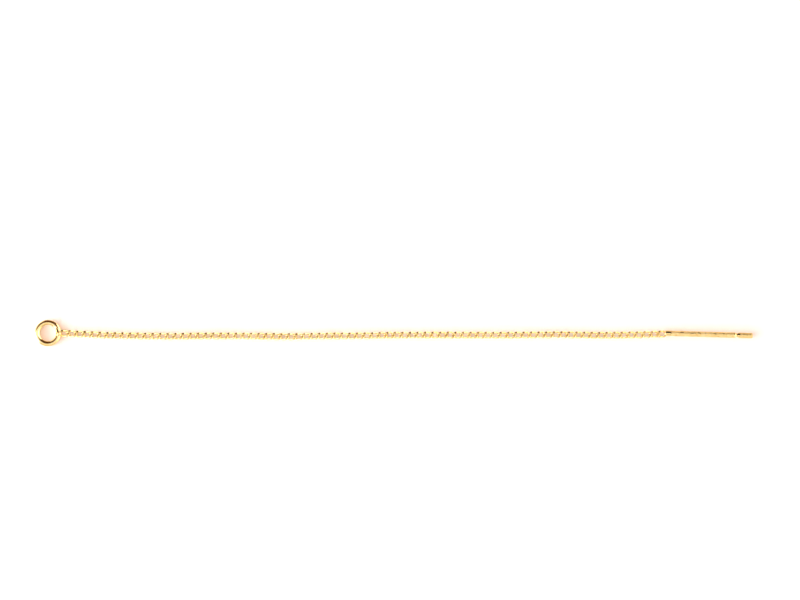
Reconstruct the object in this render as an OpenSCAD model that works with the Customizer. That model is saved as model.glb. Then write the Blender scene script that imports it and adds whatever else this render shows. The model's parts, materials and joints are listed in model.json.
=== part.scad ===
// Threader earring: a plain ring, a fine curb chain and a straight ear pin, laid out flat.
// X runs along the earring from the ring to the tip of the pin, Z is up, and the floor is at zero.
// The origin is under the middle of the earring.

/* [Ring] */
// Width across the ring, outside
ring_w = 3.7; // [3.2:0.1:5]
// Width of the oval wire that the ring is bent from
ring_wire = 0.72; // [0.68:0.02:0.8]
// Thickness of that wire
ring_h = 0.5; // [0.46:0.02:0.6]

/* [Chain] */
// Number of links, with the two that are soldered to the ring and the pin
link_count = 80; // [12:1:90]
// Distance from the middle of a link to the middle of the next
link_pitch = 1.054; // [1.04:0.002:1.1]
// Width across a link
link_w = 1.02; // [1:0.01:1.06]
// Thickness of the links' wire
link_wire = 0.25; // [0.2:0.01:0.25]
// Play between a link and the next, measured along the chain
link_play = 0.14; // [0.12:0.01:0.18]
// How far the twist lifts and lowers a link's wire
link_twist = 0.22; // [0.21:0.005:0.24]

/* [Ear pin] */
// Thickness of the pin
pin_wire = 0.75; // [0.6:0.05:0.9]
// Length of the pin from its soldered end to its tip
pin_len = 12.3; // [8:0.1:16]
// Turn of the pin to the side, from the line of the chain
pin_turn = -1.6; // [-4:0.1:4]
// Radius of the rounded edge round the pin's tip
tip_edge = 0.16; // [0.05:0.01:0.18]
// Distance from the tip to the middle of the groove
groove_from_tip = 2.2; // [1.5:0.1:4]
// Width of the groove at the pin's surface
groove_w = 0.6; // [0.3:0.05:0.8]
// Depth of the groove
groove_depth = 0.11; // [0.05:0.01:0.15]

/* [Solder] */
// Radius of the drop of solder between the ring and the first link
ring_drop = 0.33; // [0.28:0.01:0.33]
// Radius of the rounded edge that the solder gives the other end of the pin
solder_edge = 0.28; // [0.2:0.01:0.3]

/* [Hidden] */
gold = "goldenrod";

// Steps round a link's oval, drawn together at its tight ends by up to so many degrees
link_steps = 12;
step_bunch = 9;
wire_sides = 6;
round_fn = 64;

// Radius of the rounded sides of the ring's wire
oval_side_r = 0.18;

// Half length and half width of a link's centre line
oval_a = (link_pitch + link_wire + link_play) / 2;
oval_b = (link_w - link_wire) / 2;

// How the pieces follow each other along X: the first link's middle lies outside the ring's edge,
// the ring's drop of solder inside it, and the pin starts past the last link's middle
link_on_ring = 0.48;
drop_in_ring = 0.25;
pin_on_link = 0.37;
chain_len = (link_count - 1) * link_pitch;
pin_run = pin_len * cos(pin_turn);
total_len = ring_w + link_on_ring + chain_len + pin_on_link + pin_run;
ring_x = (ring_w - total_len) / 2;
first_x = ring_x + ring_w / 2 + link_on_ring;
pin_x = first_x + chain_len + pin_on_link;
pin_y = -0.02;

// The chain's lie on the floor: how far along it, as a part of its length, and how far aside
// Columns: ALONG, ASIDE
ALONG = 0;
ASIDE = 1;
LIE = [
    [0, -0.06],
    [0.03, -0.16],
    [0.06, -0.29],
    [0.12, -0.42],
    [0.18, -0.47],
    [0.24, -0.4],
    [0.3, -0.42],
    [0.38, -0.51],
    [0.44, -0.4],
    [0.49, -0.41],
    [0.53, -0.32],
    [0.64, -0.28],
    [0.73, -0.32],
    [0.83, -0.22],
    [0.9, -0.33],
    [0.96, -0.26],
    [1, -0.13]
];

function unit(v) = v / norm(v);

function aside(along) = lookup(along, [for (row = LIE) [row[ALONG], row[ASIDE]]]);

// Where the middle of link i lies, averaged over its neighbours so that the chain bends smoothly
function link_y(i) =
    let (last = link_count - 1)
    (aside(max(i - 1, 0) / last) + 2 * aside(i / last) + aside(min(i + 1, last) / last)) / 4;

function link_turn(i) =
    let (before = max(i - 1, 0), after = min(i + 1, link_count - 1))
    atan2(link_y(after) - link_y(before), (after - before) * link_pitch);

// The centre line of a link: an oval whose two long sides are twisted over each other,
// so that each end stands aslant and passes through the next link
function oval_point(t) = [oval_a * cos(t), oval_b * sin(t), -link_twist * sin(2 * t)];

function oval_run(t) = unit([-oval_a * sin(t), oval_b * cos(t), -2 * link_twist * cos(2 * t)]);

// The corners of the wire's section at one step of the oval
function wire_corners(step) =
    let (
        even = 360 * step / link_steps,
        t = even - step_bunch * sin(2 * even),
        run = oval_run(t),
        out = unit(cross(run, [0, 0, 1])),
        up = cross(out, run)
    )
    [for (k = [0:wire_sides - 1])
        let (turn = 360 * k / wire_sides)
        oval_point(t) + link_wire / 2 * (cos(turn) * out + sin(turn) * up)];

corners = [for (s = [0:link_steps - 1]) each wire_corners(s)];
link_z = -min([for (corner = corners) corner.z]);

module link() {
    faces = [
        for (s = [0:link_steps - 1], k = [0:wire_sides - 1])
            let (
                here = s * wire_sides,
                next = ((s + 1) % link_steps) * wire_sides,
                side = (k + 1) % wire_sides
            )
            each [
                [here + k, next + side, next + k],
                [here + k, here + side, next + side]
            ]
    ];
    polyhedron(points = corners, faces = faces);
}

// Link i in its place on the floor
module placed_link(i) {
    translate([first_x + i * link_pitch, link_y(i), link_z])
        rotate([0, 0, link_turn(i)])
            link();
}

// A pin's end in outline: flat in the middle and rounded at its edge
module end_outline(edge) {
    translate([pin_wire / 2 - edge, edge]) circle(edge, $fn = round_fn);
    square([pin_wire / 2 - edge, edge]);
}

// The outline of half of the pin, from its soldered end up to its tip
module pin_outline() {
    r = pin_wire / 2;
    groove_r = (groove_w * groove_w / 4 + groove_depth * groove_depth) / (2 * groove_depth);
    difference() {
        intersection() {
            square([r, pin_len]);
            union() {
                end_outline(solder_edge);
                translate([0, solder_edge]) square([r, pin_len - solder_edge - tip_edge]);
                translate([0, pin_len]) mirror([0, 1]) end_outline(tip_edge);
            }
        }
        translate([r + groove_r - groove_depth, pin_len - groove_from_tip])
            circle(groove_r, $fn = round_fn);
    }
}

// The oval section of the ring's wire: flat arcs above and below that run into the rounded sides
module oval_wire() {
    side_in = ring_wire / 2 - oval_side_r;
    flat_r = (side_in * side_in + ring_h * ring_h / 4 - oval_side_r * oval_side_r) / (ring_h - 2 * oval_side_r);
    arcs_meet = side_in * flat_r / (flat_r - oval_side_r);
    intersection() {
        translate([0, ring_h / 2 - flat_r]) circle(flat_r, $fn = round_fn);
        translate([0, flat_r - ring_h / 2]) circle(flat_r, $fn = round_fn);
        square([2 * arcs_meet, ring_h], center = true);
    }
    for (way = [-1, 1])
        translate([way * side_in, 0]) circle(oval_side_r, $fn = round_fn);
}

// A closed ring of oval wire, with a drop of solder that holds the chain's first link
module ring() {
    color(gold)
        union() {
            translate([ring_x, 0, ring_h / 2])
                rotate_extrude($fn = round_fn)
                    translate([(ring_w - ring_wire) / 2, 0])
                        oval_wire();
            translate([first_x - link_on_ring - drop_in_ring, link_y(0), max(link_z, ring_drop)])
                sphere(ring_drop, $fn = round_fn);
            placed_link(0);
        }
}

// The loose links, each through the next and clear of it
module chain() {
    color(gold)
        for (i = [1:link_count - 2])
            placed_link(i);
}

// A straight round pin with a groove near its tip, soldered round the chain's last link
module ear_pin() {
    color(gold)
        union() {
            translate([pin_x, pin_y, pin_wire / 2])
                rotate([0, 90, pin_turn])
                    rotate_extrude($fn = round_fn)
                        pin_outline();
            placed_link(link_count - 1);
        }
}

ring();
chain();
ear_pin();
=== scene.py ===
import json
import math

import bmesh
import bpy
import numpy as np
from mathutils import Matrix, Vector


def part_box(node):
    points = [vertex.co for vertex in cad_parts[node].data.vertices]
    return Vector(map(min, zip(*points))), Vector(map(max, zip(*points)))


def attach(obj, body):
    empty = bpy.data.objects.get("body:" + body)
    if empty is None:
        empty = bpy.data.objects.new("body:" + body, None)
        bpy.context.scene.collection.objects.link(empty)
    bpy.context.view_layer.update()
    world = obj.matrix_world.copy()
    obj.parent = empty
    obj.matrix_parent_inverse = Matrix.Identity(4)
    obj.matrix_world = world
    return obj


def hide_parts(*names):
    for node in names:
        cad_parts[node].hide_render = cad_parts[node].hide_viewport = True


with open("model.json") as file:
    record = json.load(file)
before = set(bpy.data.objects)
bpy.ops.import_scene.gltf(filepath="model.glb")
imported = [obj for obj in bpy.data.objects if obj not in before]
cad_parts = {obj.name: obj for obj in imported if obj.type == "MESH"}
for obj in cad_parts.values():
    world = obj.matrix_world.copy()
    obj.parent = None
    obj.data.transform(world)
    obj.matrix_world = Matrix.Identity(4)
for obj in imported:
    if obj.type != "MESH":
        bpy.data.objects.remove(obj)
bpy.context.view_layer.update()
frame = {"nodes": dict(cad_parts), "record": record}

# Chain
# A fine curb chain of round brass wire, gold plated after it was made. A machine winds each link to an oval,
# closes it through the link before, solders its seam and twists it to lie flat. A dark reflection is painted
# beside each seam.
# Its links lie where the frame has them, and their wire has its full thickness, so that they all but touch.
mm = 0.001
link_wire = 0.25
link_w = 1.02
link_play = 0.03
link_twist = 0.22
link_steps = 64
link_sides = 14

# How the links lie out of line: they roll in slow waves along the chain and by chance, and turn by chance
most_roll = math.radians(2.5)
most_turn = math.radians(0.6)
roll_waves = 5
roll_by_chance = 0.4
chance_seed = 11

# The seam's place round the link, and how far along the wire its solder reaches and how much it swells it
seam_at = math.radians(119)
seam_reach = 0.1
seam_swell = 0.15

# How dark the metal is painted: up to 1 brown, as tarnish and painted shade, above 1 black, as painted shade
# and dark reflections. A dark reflection is painted round one side of each seam's wire. A crevice is darkened
# with tarnish and painted shade within its reach of the next link, up to where the metal turns away from that
# link by this cosine.
seam_painted_dark = 1.6
seam_painted_dark_side = 3
seam_painted_dark_reach = 0.18
crevice_reach = 0.32
crevice_cosine = 0.6

# Corners of the frame's mesh that are no further apart than this are one corner
same_place = 0.0001


def loose_middles(node):
    """The middle of each loose solid of a node, in millimetres, in order along X"""
    soup = bmesh.new()
    soup.from_mesh(node.data)
    bmesh.ops.remove_doubles(soup, verts=soup.verts, dist=same_place * mm)
    for corner in soup.verts:
        corner.tag = False
    middles = []
    for first in soup.verts:
        if first.tag:
            continue
        first.tag = True
        solid = [first]
        for corner in solid:
            for edge in corner.link_edges:
                other = edge.other_vert(corner)
                if not other.tag:
                    other.tag = True
                    solid.append(other)
        middles.append(np.mean([corner.co for corner in solid], axis=0) / mm)
    soup.free()
    return np.array(sorted(middles, key=lambda middle: middle[0]))


link_middles = loose_middles(frame["nodes"]["chain"])
link_pitch = (link_middles[-1, 0] - link_middles[0, 0]) / (len(link_middles) - 1)
oval_a = (link_pitch + link_wire + link_play) / 2
oval_b = (link_w - link_wire) / 2


def unit(vectors):
    """The same ways, each with a length of 1"""
    return vectors / np.linalg.norm(vectors, axis=-1, keepdims=True)


def link_line(steps):
    """The middle of the wire round a link: an oval whose long sides are twisted over each other"""
    t = np.linspace(0, math.tau, steps, endpoint=False)
    return np.stack([oval_a * np.cos(t), oval_b * np.sin(t), -link_twist * np.sin(2 * t)], axis=1)


def tube(line, radius, sides):
    """The corners of a round wire along a closed line, a row of them for each step of the line"""
    run = unit(np.roll(line, -1, axis=0) - np.roll(line, 1, axis=0))
    out = unit(np.cross(run, (0, 0, 1)))
    up = np.cross(out, run)
    turn = np.linspace(0, math.tau, sides, endpoint=False)[None, :, None]
    outward = np.cos(turn) * out[:, None] + np.sin(turn) * up[:, None]
    return line[:, None] + np.broadcast_to(radius, len(line))[:, None, None] * outward


def tube_faces(steps, sides):
    """The four-cornered faces of such a wire, as places in its list of corners"""
    step, side = np.meshgrid(np.arange(steps), np.arange(sides), indexing="ij")
    after = (step + 1) % steps
    beside = (side + 1) % sides
    quads = [step * sides + side, step * sides + beside, after * sides + beside, after * sides + side]
    return np.stack(quads, axis=-1).reshape(-1, 4)


def mesh_piece(name, corners, faces):
    """A smooth piece of the model, from corners in millimetres and a list of faces"""
    mesh = bpy.data.meshes.new(name)
    mesh.from_pydata((corners * mm).tolist(), [], faces)
    mesh.shade_smooth()
    piece = bpy.data.objects.new(name, mesh)
    bpy.context.scene.collection.objects.link(piece)
    return piece


def turned(corners, axis, angle):
    """The corners turned about one axis, X or Z"""
    c = math.cos(angle)
    s = math.sin(angle)
    matrix = {"X": [[1, 0, 0], [0, c, -s], [0, s, c]], "Z": [[c, -s, 0], [s, c, 0], [0, 0, 1]]}[axis]
    return corners @ np.array(matrix).T


def lay_link(corners, middle, turn, roll=0):
    """A link's corners rolled, turned and laid on the table at its middle"""
    laid = turned(turned(corners, "X", roll), "Z", turn)
    laid = laid + [middle[0], middle[1], 0]
    laid[..., 2] -= laid[..., 2].min()
    return laid


def round_wire(points, line, radius):
    """How far points lie from the surface of a wire along a closed line, and the way straight out from it"""
    nearest = np.full(len(points), np.inf)
    foot = np.zeros_like(points)
    for start, end in zip(line, np.roll(line, -1, axis=0)):
        side = end - start
        part = np.clip((points - start) @ side / (side @ side), 0, 1)
        candidate = start + part[:, None] * side
        far = np.linalg.norm(points - candidate, axis=1)
        closer = far < nearest
        nearest[closer] = far[closer]
        foot[closer] = candidate[closer]
    return nearest - radius, unit(points - foot)


def crevice_depth(corners, outward, lines):
    """How deep in the gaps to other links corners are: from 0, well clear of their wires or turned away
    from them, to 1, close by and facing them"""
    deepest = np.zeros(len(corners))
    for line in lines:
        gap, way = round_wire(corners, line, link_wire / 2)
        faces_it = np.clip(crevice_cosine - (way * outward).sum(axis=1), 0, 1)
        deepest = np.maximum(deepest, np.clip(1 - gap / crevice_reach, 0, 1) * faces_it)
    return deepest


def patch(distance, reach):
    """1 in the middle of a patch, about a third at its reach, and next to nothing soon after"""
    return np.exp(-((distance / reach) ** 4))


def seam_painted_reflection(corners, link):
    """The dark reflection painted beside a link's seam, on the upper outer side of its wire"""
    painted_middle = link[seam_step, 1 + seam_painted_dark_side]
    return seam_painted_dark * patch(np.linalg.norm(corners - painted_middle, axis=1), seam_painted_dark_reach)


def note(piece, name, values):
    """Keeps a number for each corner of a piece, for its material"""
    piece.data.attributes.new(name, "FLOAT", "POINT").data.foreach_set("value", values)


# A link before it is laid: the middle of its wire, then its corners, in a row for each step
line = link_line(link_steps)
step_lengths = np.linalg.norm(np.roll(line, -1, axis=0) - line, axis=1)
along_link = np.concatenate([[0], np.cumsum(step_lengths)[:-1]])
seam_step = round(seam_at / math.tau * link_steps)
seam = patch(along_link - along_link[seam_step], seam_reach)
plain_link = tube(line, link_wire / 2 * (1 + seam_swell * seam), link_sides)
line_and_corners = np.concatenate([line[:, None], plain_link], axis=1)

count = len(link_middles)
lie = np.arctan2(np.gradient(link_middles[:, 1]), link_pitch)
chance = np.random.default_rng(chance_seed)
waves = (1 - roll_by_chance) * np.sin(np.linspace(0, roll_waves * math.tau, count))
rolls = most_roll * (waves + chance.uniform(-roll_by_chance, roll_by_chance, count))
turns = lie + most_turn * chance.uniform(-1, 1, count)
links = [lay_link(line_and_corners, link_middles[i], turns[i], rolls[i]) for i in range(count)]

first_link = 2 * link_middles[0] - link_middles[1]
last_link = 2 * link_middles[-1] - link_middles[-2]
link_on_ring = lay_link(line_and_corners, first_link, lie[0])
link_on_pin = lay_link(line_and_corners, last_link, lie[-1])
link_lines = [link[:, 0] for link in (link_on_ring, *links, link_on_pin)]

link_faces = tube_faces(link_steps, link_sides)
chain_faces = np.concatenate([link_faces + i * link_steps * link_sides for i in range(count)])
link_corners = [link[:, 1:].reshape(-1, 3) for link in links]
chain = mesh_piece("chain_links", np.concatenate(link_corners), chain_faces.tolist())
outward = [unit(link[:, 1:] - link[:, :1]).reshape(-1, 3) for link in links]
neighbours = [(link_lines[i], link_lines[i + 2]) for i in range(count)]
depths = [crevice_depth(link_corners[i], outward[i], neighbours[i]) for i in range(count)]
# The dark reflections painted beside the seams
seam_reflections = [seam_painted_reflection(link_corners[i], links[i]) for i in range(count)]
# Each corner's dark value: tarnish and painted shade in the crevices, and painted dark reflections beside the
# seams
note(chain, "tarnish_and_painted_shade", np.maximum(np.concatenate(depths), np.concatenate(seam_reflections)))

# Each link's skin unrolls into a strip of its own, in rows with gaps between them
strips_in_row = 4
strip_gap = 0.04
strip = chain.data.uv_layers.new(name="OFBake")
step, side = np.meshgrid(np.arange(link_steps), np.arange(link_sides), indexing="ij")
along = np.stack([step, step, step + 1, step + 1], axis=-1) / link_steps
around = np.stack([side, side + 1, side + 1, side], axis=-1) / link_sides
places = np.stack([along, around], axis=-1).reshape(-1, 2) * (1 - 2 * strip_gap) + strip_gap
strip_grid = (strips_in_row, math.ceil(count / strips_in_row))
spread = [(places + (i % strips_in_row, i // strips_in_row)) / strip_grid for i in range(count)]
strip.data.foreach_set("uv", np.concatenate(spread).ravel())


class Flow:
    """A socket of a material. Arithmetic on it adds Math nodes, and node() adds any other node."""

    def __init__(self, tree, socket=None):
        self.tree = tree
        self.socket = socket

    def node(self, kind, settings, sockets, output=0):
        made = self.tree.nodes.new(kind)
        for name, value in settings.items():
            setattr(made, name, value)
        for name, value in sockets.items():
            if isinstance(value, Flow):
                self.tree.links.new(value.socket, made.inputs[name])
            else:
                made.inputs[name].default_value = value
        return Flow(self.tree, made.outputs[output] if made.outputs else None)

    def math(self, operation, first, second):
        return self.node("ShaderNodeMath", {"operation": operation}, {0: first, 1: second})

    def __add__(self, other):
        return self.math("ADD", self, other)

    def __sub__(self, other):
        return self.math("SUBTRACT", self, other)

    def __rsub__(self, other):
        return self.math("SUBTRACT", other, self)

    def __mul__(self, other):
        return self.math("MULTIPLY", self, other)

    def __truediv__(self, other):
        return self.math("DIVIDE", self, other)

    def __pow__(self, other):
        return self.math("POWER", self, other)

    __radd__ = __add__
    __rmul__ = __mul__

    def most(self, other):
        return self.math("MAXIMUM", self, other)

    def between(self, low, high):
        """0 where the value is below low, 1 above high, and smooth between them"""
        ends = {"From Min": low, "From Max": high}
        return self.node("ShaderNodeMapRange", {"interpolation_type": "SMOOTHSTEP"}, {"Value": self, **ends})

    def colours(self, low, high):
        """A mix of two colours, by this value"""
        return self.node("ShaderNodeMix", {"data_type": "RGBA"}, {0: self, 6: low, 7: high}, 2)


def noise(flow, place, per_mm, detail=2.0):
    """Random patches, so many to a millimetre"""
    return flow.node("ShaderNodeTexNoise", {}, {"Vector": place, "Scale": per_mm / mm, "Detail": detail})


# The gold's own unevenness, and how it goes brown with tarnish and painted shade, and then black with painted
# shade and dark reflections, as its dark value grows
gold_rich = (0.90, 0.645, 0.27, 1)
gold_pale = (0.95, 0.725, 0.36, 1)
edge_gold = (1.0, 0.86, 0.55, 1)
tarnish_and_shade_brown = (0.40, 0.265, 0.055, 1)
painted_black = (0.035, 0.022, 0.008, 1)
cloud_per_mm = 0.9
cloud_detail = 3.0
cloud_pales = (0.35, 0.65)
cloud_dulls = (0.4, 0.7)
cloud_rough = 0.05
grain_per_mm = 14.0
grain_middle = 0.5
grain_depth = 0.0005
grain_rough = 0.04
blot_per_mm = 6.0
blot_edges = (0.3, 0.7)
dark_outside_blots = 0.6
darker_in_blots = 0.65
dark_by_grain = 0.5
tarnish_and_shade_edges = (0.3, 0.95)
tarnish_and_shade_rough = 0.3
painted_black_edges = (0.95, 1.45)


def gold_plating(name, roughness, rich=gold_rich, pale=gold_pale, depth=grain_depth, worked=None):
    """Gold plate over brass, not quite even, with tarnish and painted shade in the crevices between links,
    and black painted shade and dark reflections beside its solder and on the pin. Where the metal shows how
    it was worked, worked() changes its roughness and its relief."""
    material = bpy.data.materials.new(name)
    material.use_nodes = True
    material.node_tree.nodes.clear()
    flow = Flow(material.node_tree)
    place = flow.node("ShaderNodeTexCoord", {}, {}, "Object")
    cloud = noise(flow, place, cloud_per_mm, cloud_detail)
    grain = noise(flow, place, grain_per_mm)
    blot = noise(flow, place, blot_per_mm).between(*blot_edges)
    # The dark value: tarnish and painted shade up to 1, black painted shade and dark reflections above it
    tarnish_and_painted_shade = flow.node("ShaderNodeAttribute", {"attribute_name": "tarnish_and_painted_shade"}, {}, "Fac")
    dark = tarnish_and_painted_shade * (dark_outside_blots + darker_in_blots * blot)
    dull = (dark + dark_by_grain * (grain - grain_middle)).between(*tarnish_and_shade_edges)
    colour = cloud.between(*cloud_pales).colours(rich, pale)
    colour = dull.colours(colour, tarnish_and_shade_brown)
    colour = dark.between(*painted_black_edges).colours(colour, painted_black)
    rough = roughness + cloud_rough * cloud.between(*cloud_dulls) + grain_rough * grain + tarnish_and_shade_rough * dull
    relief = grain
    if worked:
        rough, relief = worked(flow, place, rough, grain)
    bump = flow.node("ShaderNodeBump", {}, {"Strength": 1.0, "Distance": depth * mm, "Height": relief})
    metal = flow.node(
        "ShaderNodeBsdfPrincipled",
        {},
        {
            "Base Color": colour,
            "Metallic": 1.0,
            "Roughness": rough,
            "Specular Tint": edge_gold,
            "Normal": bump,
        },
    )
    flow.node("ShaderNodeOutputMaterial", {}, {"Surface": metal})
    return material


chain_roughness = 0.1
chain_rich = (0.90, 0.70, 0.33, 1)
chain_pale = (0.93, 0.78, 0.42, 1)
chain.data.materials.append(gold_plating("gold_chain", chain_roughness, chain_rich, chain_pale))
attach(chain, "root")
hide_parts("chain")

# Ring
# A closed ring of thicker, oval wire at the hanging end. The chain's first link is soldered to its
# outside with a drop of gold solder, and the metal of all three runs together in a soft fillet.
ring_low, ring_high = (np.array(corner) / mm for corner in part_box("ring"))
ring_wire = 0.72
ring_h = 0.5
ring_w = ring_high[1] - ring_low[1]
ring_radius = (ring_w - ring_wire) / 2
ring_middle = np.array([ring_low[0] + ring_w / 2, 0, ring_h / 2])
ring_steps = 96
ring_roughness = 0.06
ring_drop = 0.33
drop_in_ring = 0.25
drop_middle = np.array([ring_low[0] + ring_w - drop_in_ring, first_link[1], ring_drop])
solder_softness = 0.03

# The wire's section: flat arcs above and below that run into the rounded sides
oval_side_r = 0.18
oval_side_in = ring_wire / 2 - oval_side_r
oval_top_r = (oval_side_in**2 + ring_h**2 / 4 - oval_side_r**2) / (ring_h - 2 * oval_side_r)
oval_top_down = oval_top_r - ring_h / 2

# The shade painted beside the solder, on the top of the ring
ring_painted_shade = 2.0
ring_shade_turn = math.radians(17)
ring_shade_radius = 1.4
ring_shade_length = 0.33
ring_shade_width = 0.13

# The skin over soldered parts: the size of its faces, how often they are evened out, how often they are
# pulled to their place after each time, and how many sides the rough wires have that it starts from
skin_cell = 0.03
skin_rounds = 6
skin_pulls = 2
rough_sides = 12

# A point in the very middle of a wire lies no distance out, and is divided by this instead of by zero
almost_nothing = 1e-9


def oval_ring(points):
    """How far points lie from the ring's surface, and the way straight out from it"""
    flat = points - ring_middle
    out = np.hypot(flat[:, 0], flat[:, 1])
    side = out - ring_radius
    on_top = oval_side_in * (np.abs(flat[:, 2]) + oval_top_down) > oval_top_down * np.abs(side)
    from_side = side - np.sign(side) * np.where(on_top, 0, oval_side_in)
    from_up = flat[:, 2] + np.sign(flat[:, 2]) * np.where(on_top, oval_top_down, 0)
    far = np.maximum(np.hypot(from_side, from_up), almost_nothing)
    away = np.stack([flat[:, 0] / out * from_side, flat[:, 1] / out * from_side, from_up], axis=1)
    return far - np.where(on_top, oval_top_r, oval_side_r), away / far[:, None]


def ball(points, middle, radius):
    """How far points lie from the surface of a drop of solder, and the way straight out from it"""
    return np.linalg.norm(points - middle, axis=1) - radius, unit(points - middle)


def run_together(parts, softness):
    """Melts parts into one: the corners between them fill up over about the given softness"""
    depths = np.stack([depth for depth, way in parts])
    ways = np.stack([way for depth, way in parts])
    least = depths.min(axis=0)
    share = np.exp(-(depths - least) / softness)
    total = share.sum(axis=0)
    return least - softness * np.log(total), unit((ways * (share / total)[..., None]).sum(axis=0))


def skin(name, shape, solids):
    """One skin of metal over soldered parts. Rough solids give its faces, and shape() its exact place."""
    rough = bpy.data.objects.new("rough", bpy.data.meshes.new("rough"))
    solids.to_mesh(rough.data)
    solids.free()
    bpy.context.scene.collection.objects.link(rough)
    remesh = rough.modifiers.new("skin", "REMESH")
    remesh.mode = "VOXEL"
    remesh.voxel_size = skin_cell
    remeshed = rough.evaluated_get(bpy.context.evaluated_depsgraph_get()).to_mesh()
    corners = np.empty(len(remeshed.vertices) * 3)
    remeshed.vertices.foreach_get("co", corners)
    corners = corners.reshape(-1, 3)
    edges = np.empty(len(remeshed.edges) * 2, int)
    remeshed.edges.foreach_get("vertices", edges)
    start, end = edges.reshape(-1, 2).T
    faces = [list(face.vertices) for face in remeshed.polygons]
    bpy.data.objects.remove(rough)
    meeting = np.bincount(start, minlength=len(corners)) + np.bincount(end, minlength=len(corners))
    for _ in range(skin_rounds):
        around = np.zeros_like(corners)
        for axis in range(3):
            around[:, axis] = np.bincount(start, corners[end, axis], len(corners))
            around[:, axis] += np.bincount(end, corners[start, axis], len(corners))
        corners = (corners + around / meeting[:, None]) / 2
        for _ in range(skin_pulls):
            depth, way = shape(corners)
            corners = corners - depth[:, None] * way
    corners[:, 2] = corners[:, 2].clip(0)
    piece = mesh_piece(name, corners, faces)
    piece.data.normals_split_custom_set_from_vertices(shape(corners)[1].tolist())
    return piece


def corners_of(piece):
    """The corners of a piece, in millimetres"""
    corners = np.empty(len(piece.data.vertices) * 3)
    piece.data.vertices.foreach_get("co", corners)
    return corners.reshape(-1, 3) / mm


def add_tube(solids, line, radius):
    """Adds a rough wire along a closed line to the rough solids"""
    corners = tube(line, radius, rough_sides)
    made = [solids.verts.new(corner) for corner in corners.reshape(-1, 3)]
    for face in tube_faces(len(line), rough_sides):
        solids.faces.new([made[place] for place in face])


def ring_shape(points):
    """How far points lie from the ring with its drop of solder and its link, and the way straight out"""
    near = points[:, 0] > ring_middle[0] + ring_radius - ring_wire
    depth, way = oval_ring(points)
    soldered = points[near]
    parts = [
        (depth[near], way[near]),
        round_wire(soldered, link_lines[0], link_wire / 2),
        ball(soldered, drop_middle, ring_drop),
    ]
    depth[near], way[near] = run_together(parts, solder_softness)
    return depth, way


turn = np.linspace(0, math.tau, ring_steps, endpoint=False)
ring_line = ring_middle + ring_radius * np.stack([np.cos(turn), np.sin(turn), 0 * turn], axis=1)
solids = bmesh.new()
add_tube(solids, ring_line, ring_h / 2)
add_tube(solids, link_lines[0], link_wire / 2)
drop = bmesh.ops.create_icosphere(solids, subdivisions=3, radius=ring_drop)
bmesh.ops.translate(solids, verts=drop["verts"], vec=Vector(drop_middle))
ring = skin("ring_and_first_link", ring_shape, solids)

corners = corners_of(ring)
# The ring's dark value: tarnish and painted shade in the gap to the next link, and painted black beside the
# seam and solder
gaps = crevice_depth(corners, ring_shape(corners)[1], link_lines[1:2])
dark = np.maximum(gaps, seam_painted_reflection(corners, link_on_ring))
from_middle = corners - ring_middle
along = ring_shade_radius * (np.arctan2(from_middle[:, 1], from_middle[:, 0]) - ring_shade_turn)
across = np.hypot(from_middle[:, 0], from_middle[:, 1]) - ring_shade_radius
painted_shade = ring_painted_shade * patch(along, ring_shade_length) * patch(across, ring_shade_width)
note(ring, "tarnish_and_painted_shade", np.maximum(dark, painted_shade * (from_middle[:, 2] > 0)))
ring.data.materials.append(gold_plating("gold_ring", ring_roughness))
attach(ring, "root")
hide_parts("ring")

# Ear pin
# A straight round pin that goes through the ear lobe, cut from drawn wire. Its tip is rounded, a shallow
# groove near the tip takes a rubber stop, and the chain's last link is sunk in its other end with solder.
pin_low, pin_high = (np.array(corner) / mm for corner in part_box("ear_pin"))
post = next(mount for mount in frame["record"]["mounts"] if mount["name"] == "ear_post")
pin_run = unit(np.array(post["axis"], float))
pin_radius = (pin_high[2] - pin_low[2]) / 2
pin_len = 12.3
tip_edge = 0.16
solder_edge = 0.28
groove_from_tip = 2.2
groove_w = 0.6
groove_depth = 0.11
groove_lip = 0.012
groove_r = (groove_w**2 / 4 + groove_depth**2) / (2 * groove_depth)

# The pin lies along its mount, and its rounded tip just reaches the end of the frame's box
tip_reach = pin_high[0] - (pin_radius - tip_edge) * abs(pin_run[1]) - tip_edge * (1 - pin_run[0])
pin_tip = np.array(post["pos_m"]) / mm
pin_tip = pin_tip + pin_run * (tip_reach - pin_tip[0]) / pin_run[0]
pin_start = pin_tip - pin_len * pin_run

# Dark reflections painted on the top of the pin: how far in from its soldered end, how far aside, half the
# length and width, and how dark. They are beside the solder, at each side of the groove and at the tip.
IN, ASIDE, LENGTH, WIDTH, DARK = range(5)
pin_painted_reflections = [
    (0.45, 0.17, 0.33, 0.13, 2.0),
    (9.77, 0.16, 0.08, 0.15, 1.5),
    (10.38, 0.16, 0.15, 0.12, 2.0),
    (11.50, 0.07, 0.18, 0.10, 0.6),
    (11.92, 0.15, 0.15, 0.13, 0.6),
]

# The lines and streaks that the die left along X, and the plain stretches that were soldered or turned
pin_roughness = 0.46
pin_rich = (0.80, 0.575, 0.24, 1)
pin_pale = (0.85, 0.64, 0.30, 1)
line_depth = 0.014
fine_lines = {"stretch": 0.05, "per_mm": 26.0, "detail": 3.0}
coarse_lines = {"stretch": 0.15, "per_mm": 6.5, "detail": 2.0}
streaks = {"stretch": 0.4, "per_mm": 5.6, "detail": 1.0}
coarse_share = 2.2
grain_share = 0.1
streak_edges = (0.52, 0.66)
streak_polish = 0.65
plain_roughness = 0.08
plain_fade = 0.25
soldered_from = pin_start[0] - 1.0
soldered_to = pin_start[0] + 0.75
groove_middle = pin_tip[0] - groove_from_tip * pin_run[0]
plain_stretches = [(soldered_from, soldered_to), (groove_middle - groove_w / 2, groove_middle + groove_w / 2)]


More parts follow.
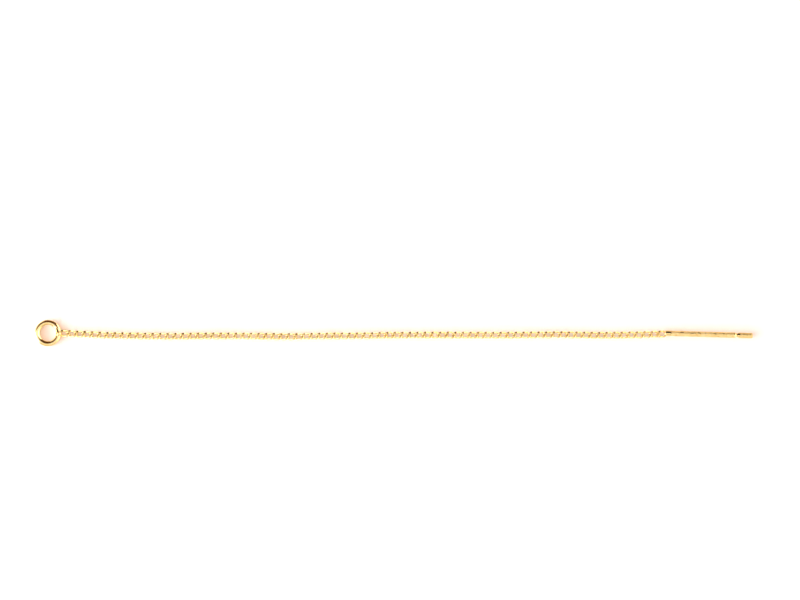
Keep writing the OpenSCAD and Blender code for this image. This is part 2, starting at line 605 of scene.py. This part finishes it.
def pin_rod(points):
    """The pin without its link: a rod with rounded ends and a groove"""
    from_start = points - pin_start
    along = from_start @ pin_run
    off = from_start - along[:, None] * pin_run
    out = np.linalg.norm(off, axis=1)
    across = off / np.maximum(out, almost_nothing)[:, None]
    edge = np.where(along > pin_len / 2, tip_edge, solder_edge)
    past_end = np.abs(along - pin_len / 2) - (pin_len / 2 - edge)
    past_side = out - (pin_radius - edge)
    corner = np.hypot(np.maximum(past_end, 0), np.maximum(past_side, 0))
    depth = corner + np.minimum(np.maximum(past_end, past_side), 0) - edge
    end_share = np.where(corner > 0, np.maximum(past_end, 0), past_end > past_side)
    side_share = np.where(corner > 0, np.maximum(past_side, 0), past_end <= past_side)
    ahead = np.sign(along - pin_len / 2)[:, None] * pin_run
    way = unit(end_share[:, None] * ahead + side_share[:, None] * across)
    to_groove = np.stack([along - (pin_len - groove_from_tip), out - (pin_radius + groove_r - groove_depth)])
    cut = groove_r - np.hypot(*to_groove)
    cut_way = -unit(to_groove[0][:, None] * pin_run + to_groove[1][:, None] * across)
    depth, way = run_together([(-depth, -way), (-cut, -cut_way)], groove_lip)
    return -depth, -way


def pin_shape(points):
    """How far points lie from the pin with its link, and the way straight out from it"""
    near = points[:, 0] < pin_start[0] + 2 * pin_radius
    depth, way = pin_rod(points)
    parts = [(depth[near], way[near]), round_wire(points[near], link_lines[-1], link_wire / 2)]
    depth[near], way[near] = run_together(parts, solder_softness)
    return depth, way


def along_x(flow, place, stretch, per_mm, detail):
    """Noise that is drawn out along X"""
    factors = {0: place, 1: (stretch, 1.0, 1.0)}
    return noise(flow, flow.node("ShaderNodeVectorMath", {"operation": "MULTIPLY"}, factors), per_mm, detail)


def drawn(flow, place, rough, grain):
    """The roughness and relief of wire that was only drawn, except in its plain stretches"""
    relief = along_x(flow, place, **fine_lines) + coarse_share * along_x(flow, place, **coarse_lines)
    streak = along_x(flow, place, **streaks).between(*streak_edges)
    rough = rough * (1 - streak_polish * streak)
    along = flow.node("ShaderNodeSeparateXYZ", {}, {0: place})
    for start, end in plain_stretches:
        begun = along.between((start - plain_fade) * mm, start * mm)
        ended = along.between(end * mm, (end + plain_fade) * mm)
        plain = begun * (1 - ended)
        relief = relief * (1 - plain)
        rough = rough * (1 - plain) + plain_roughness * plain
    return rough, grain * grain_share + relief


solids = bmesh.new()
add_tube(solids, link_lines[-1], link_wire / 2)
rod = bmesh.ops.create_cone(
    solids, cap_ends=True, segments=24, radius1=pin_radius, radius2=pin_radius, depth=pin_len
)
lay_rod = Vector(pin_run).to_track_quat("Z", "Y").to_matrix()
bmesh.ops.rotate(solids, verts=rod["verts"], matrix=lay_rod)
bmesh.ops.translate(solids, verts=rod["verts"], vec=Vector(pin_tip - pin_run * pin_len / 2))
pin = skin("ear_pin_and_last_link", pin_shape, solids)

corners = corners_of(pin)
gaps = crevice_depth(corners, pin_shape(corners)[1], link_lines[-2:-1])
dark = np.maximum(gaps, seam_painted_reflection(corners, link_on_pin))
from_start = corners - pin_start
along = from_start @ pin_run
aside = from_start @ np.cross((0, 0, 1), pin_run)
# Paints the dark reflections on the top of the pin, over its tarnish and painted shade
for row in pin_painted_reflections:
    painted_reflection = row[DARK] * patch(along - row[IN], row[LENGTH]) * patch(aside - row[ASIDE], row[WIDTH])
    dark = np.maximum(dark, painted_reflection * (from_start[:, 2] > 0))
note(pin, "tarnish_and_painted_shade", dark)
pin.data.materials.append(gold_plating("gold_pin", pin_roughness, pin_rich, pin_pale, line_depth, drawn))
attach(pin, "root")
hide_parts("ear_pin")

# Table
# A plain white table top, matt and so well lit that it has no tone of its own but the soft shadows.
# Only in the gold does it glow a little, a painted brightening of its reflection beside the dark reflections.
table_half = 1500
table_corners = np.array([(-1, -1, 0), (1, -1, 0), (1, 1, 0), (-1, 1, 0)]) * table_half
table_cloud_per_mm = 0.9
table_tones = (0.92, 0.915, 0.91, 1), (0.95, 0.945, 0.94, 1)
table_painted_glow = 0.3
table_painted_glow_colour = (1.0, 0.95, 0.85, 1)

table = mesh_piece("table", table_corners, [(0, 1, 2, 3)])
table_white = bpy.data.materials.new("table_white")
table_white.use_nodes = True
table_white.node_tree.nodes.clear()
flow = Flow(table_white.node_tree)
place = flow.node("ShaderNodeTexCoord", {}, {}, "Object")
in_gold = flow.node("ShaderNodeLightPath", {}, {}, "Is Glossy Ray")
matt = flow.node(
    "ShaderNodeBsdfPrincipled",
    {},
    {
        "Base Color": noise(flow, place, table_cloud_per_mm).colours(*table_tones),
        "Roughness": 0.9,
        "Specular IOR Level": 0.1,
        "Emission Color": table_painted_glow_colour,
        "Emission Strength": table_painted_glow * in_gold,
    },
)
flow.node("ShaderNodeOutputMaterial", {}, {"Surface": matt})
table.data.materials.append(table_white)

# Light
# A white light tent round the table. A large lamp stands low on its left, its right side glows and its near
# side is dimmer. The dark stand that holds the camera shows in the gold: its column and arm on the far side.
# The table itself is lit by a low cool light from the left and a warmer one from above.

# The lamp: a round one, with its turn and height in degrees, and its distance and width in metres
lamp_turn = 197
lamp_height = 20
lamp_distance = 0.5
lamp_w = 0.36
lamp_area = math.pi * lamp_w**2 / 4
lamp_strength = 3.6
lamp_colour = (0.92, 0.97, 1.06)


def toward(turn, height):
    """The way from the table toward a place in the tent, by its turn from +X and its height in degrees"""
    turn, height = math.radians(turn), math.radians(height)
    return math.cos(turn) * math.cos(height), math.sin(turn) * math.cos(height), math.sin(height)


lamp_light = bpy.data.lights.new("lamp", "AREA")
lamp_light.shape = "DISK"
lamp_light.size = lamp_w
lamp_light.energy = lamp_strength * math.pi * lamp_area
lamp_light.color = lamp_colour
lamp = bpy.data.objects.new("lamp", lamp_light)
bpy.context.scene.collection.objects.link(lamp)
lamp_way = Vector(toward(lamp_turn, lamp_height))
lamp.location = lamp_way * lamp_distance
lamp.rotation_euler = lamp_way.to_track_quat("Z", "Y").to_euler()
lamp.visible_camera = False

room = bpy.data.worlds.new("tent")
bpy.context.scene.world = room
room.use_nodes = True
room.node_tree.nodes.clear()
flow = Flow(room.node_tree)
way = flow.node("ShaderNodeTexCoord", {}, {}, "Generated")


def facing(turn, height=0.0):
    """How nearly the way that light comes from faces a place in the tent, as a cosine"""
    dot = {"operation": "DOT_PRODUCT"}
    return flow.node("ShaderNodeVectorMath", dot, {0: way, 1: toward(turn, height)}, "Value")


above = facing(0, 90)
level = (1 - above * above) ** 0.5


def side_of_tent(turn, fades):
    """1 on one side of the tent, from the floor to the top, with the cosines between which it fades"""
    return (facing(turn) / level).between(*fades)


def glow(colour, strength):
    """The light that the tent sends of one colour"""
    return flow.node("ShaderNodeBackground", {}, {"Color": colour, "Strength": strength})


# What the gold reflects: the white tent, brighter on the right and dimmer on the near side. Each has its
# turn in degrees, the cosines across between which it fades in, and the sines up between which it fades out.
tent_white = (1.0, 0.99, 0.97, 1)
tent_strength = 1.7
tent_seen = 1.0
right_turn = 10
right_across = (0.35, 0.75)
right_up = (0.78, 0.92)
right_more = 1.4
near_turn = 272
near_across = (0.2, 0.75)
near_up = (0.45, 0.8)
near_less = 0.95
near_loss_up = 0.45
right_glow = right_more * side_of_tent(right_turn, right_across) * (1 - above.between(*right_up))
near_dim = near_less * side_of_tent(near_turn, near_across) * (1 - near_loss_up * above.between(*near_up))
reflected = tent_strength + right_glow - near_dim
path = {name: flow.node("ShaderNodeLightPath", {}, {}, name) for name in ("Is Camera Ray", "Diffuse Depth")}
by_ray = {0: path["Is Camera Ray"], 2: reflected, 3: tent_seen}
tent = glow(tent_white, flow.node("ShaderNodeMix", {"data_type": "FLOAT"}, by_ray))

# The stand: a column, then the parts of its arm as round patches, in degrees. The arm ends on the left.
stand_brown = (0.13, 0.06, 0.03, 1)
column_turn = 84
column_across = (0.80, 0.88)
column_up = (0.72, 0.84)
arm_end_turn = 190
arm_end_across = (0.93, 0.97)
TURN, HEIGHT, REACH = range(3)
arm_parts = [
    (96, 55, 27),
    (58, 55, 19),
    (116, 36, 16),
    (140, 56, 33),
]
arm_softness = 3
stand_part = side_of_tent(column_turn, column_across) * (1 - above.between(*column_up))
for row in arm_parts:
    outer = math.cos(math.radians(row[REACH] + arm_softness))
    inner = math.cos(math.radians(row[REACH] - arm_softness))
    stand_part = stand_part.most(facing(row[TURN], row[HEIGHT]).between(outer, inner))
stand_part = stand_part * (1 - side_of_tent(arm_end_turn, arm_end_across))
around = flow.node("ShaderNodeMixShader", {}, {0: stand_part, 1: tent, 2: glow(stand_brown, 1.0)})

# What lights the table: a low band, much stronger from the left, a high one, and the top of the tent, with
# the sines up between which each begins
cool_white = (0.90, 1.0, 1.2, 1)
pink_white = (1.04, 0.79, 0.80, 1)
warm_white = (1.25, 0.75, 0.25, 1)
low_up = (0.06, 0.16)
high_up = (0.22, 0.44)
overhead_up = (0.65, 0.85)
low_strength = 0.6
left_more = 17.5
left_turn = 187
left_across = (0.42, 0.95)
high_strength = 0.6
overhead_strength = 0.75
high = above.between(*high_up)
overhead = above.between(*overhead_up)
low = above.between(*low_up) * (1 - high)
table_light = glow(cool_white, (low_strength + left_more * side_of_tent(left_turn, left_across)) * low)
for tint, amount in ((pink_white, high_strength * high), (warm_white, overhead_strength * overhead)):
    table_light = flow.node("ShaderNodeAddShader", {}, {0: table_light, 1: glow(tint, amount)})
seen = flow.node("ShaderNodeMixShader", {}, {0: path["Diffuse Depth"], 1: around, 2: table_light})
flow.node("ShaderNodeOutputWorld", {}, {"Surface": seen})
room.cycles.sampling_method = "NONE"

# Camera
# It looks straight down on the table with a long lens, from beside the middle of the earring. Its height
# makes the picture as wide on the table as the photo is, at the size that a pixel has there.
photo_w = 800
pixel = 0.1396 * mm
camera_x = 0.907 * mm
camera_y = 4.611 * mm
lens = 85.0
sensor = 36.0
camera_data = bpy.data.cameras.new("camera")
camera_data.lens = lens
camera_data.sensor_width = sensor
camera = bpy.data.objects.new("camera", camera_data)
camera.location = (camera_x, camera_y, photo_w * pixel * lens / sensor)
bpy.context.scene.collection.objects.link(camera)
bpy.context.scene.camera = camera
bpy.context.scene.view_settings.view_transform = "Standard"
